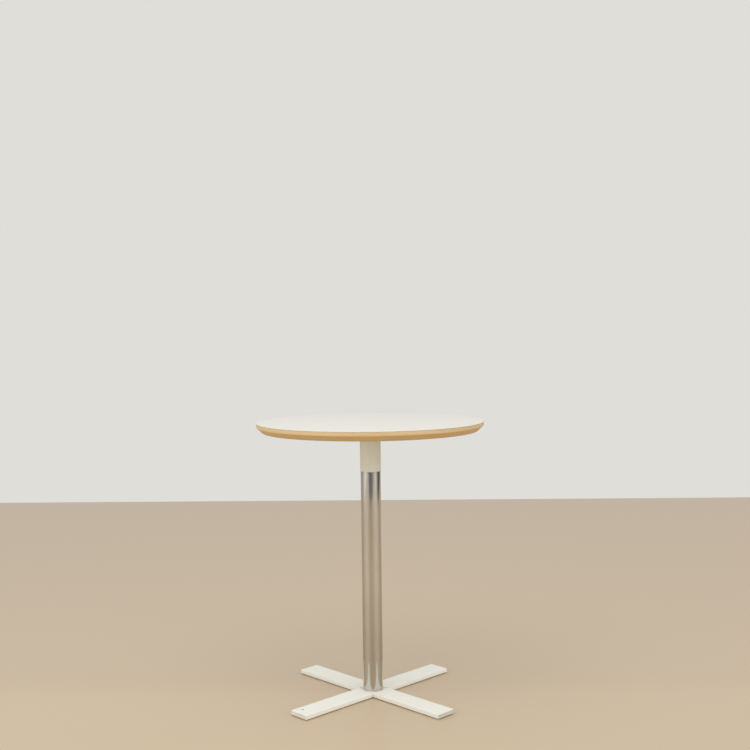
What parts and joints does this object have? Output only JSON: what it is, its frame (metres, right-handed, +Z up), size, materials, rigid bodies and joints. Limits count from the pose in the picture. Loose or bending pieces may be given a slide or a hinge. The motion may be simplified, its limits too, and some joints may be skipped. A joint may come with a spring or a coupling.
{
  "type": "round cafe table",
  "caption": "Round cafe table with a white laminate top, bevelled solid wood edge, chrome column under a painted collar, and a flat steel cross foot with levelling glides.",
  "frame": {"origin": "on the floor under the middle of the column, with the glides screwed right in", "axes": "+Z up along the column, front of the table towards -Y, the bars of the foot on the diagonals of X and Y"},
  "size_m": [0.6, 0.6, 0.728],
  "materials": {
    "white_laminate": "satin high-pressure laminate, warm white",
    "particle_board": "raw particle board, hidden",
    "backing_laminate": "matt balancing laminate",
    "beech": "clear satin lacquer",
    "brass": "turned",
    "plated_steel": "zinc plated",
    "bare_steel": "turned, bare",
    "chrome": "polished chrome plate",
    "white_paint": "satin white powder coat",
    "nylon": "moulded dark grey nylon"
  },
  "bodies": {
    "root": {"top_laminate": "white_laminate", "top_core": "particle_board", "backing_laminate": "backing_laminate", "edging_1": "beech", "edging_2": "beech", "edging_3": "beech", "edging_4": "beech", "edging_5": "beech", "edging_6": "beech", "threaded_inserts": "brass", "plate_screws": "plated_steel", "mounting_plate": "white_paint", "collar_tube": "white_paint", "collar_weld": "white_paint", "centring_plug": "bare_steel", "rod_lock_nuts": "plated_steel", "tie_rod": "plated_steel", "coupling_nut": "plated_steel", "column_tube": "chrome", "locating_disc": "white_paint", "long_bar": "white_paint", "short_bar_front_right": "white_paint", "short_bar_back_left": "white_paint", "foot_welds": "white_paint", "foot_screw": "plated_steel"},
    "glide_front_left": {"glide_stud_front_left": "plated_steel", "glide_pad_front_left": "nylon"},
    "glide_front_right": {"glide_stud_front_right": "plated_steel", "glide_pad_front_right": "nylon"},
    "glide_back_right": {"glide_stud_back_right": "plated_steel", "glide_pad_back_right": "nylon"},
    "glide_back_left": {"glide_stud_back_left": "plated_steel", "glide_pad_back_left": "nylon"}
  },
  "joints": [
    {"name": "glide_front_left_travel", "type": "slide", "parent": "root", "child": "glide_front_left", "axis": [0, 0, -1], "range_m": [0, 0.003]},
    {"name": "glide_front_right_travel", "type": "slide", "parent": "root", "child": "glide_front_right", "axis": [0, 0, -1], "range_m": [0, 0.003]},
    {"name": "glide_back_right_travel", "type": "slide", "parent": "root", "child": "glide_back_right", "axis": [0, 0, -1], "range_m": [0, 0.003]},
    {"name": "glide_back_left_travel", "type": "slide", "parent": "root", "child": "glide_back_left", "axis": [0, 0, -1], "range_m": [0, 0.003]}
  ]
}
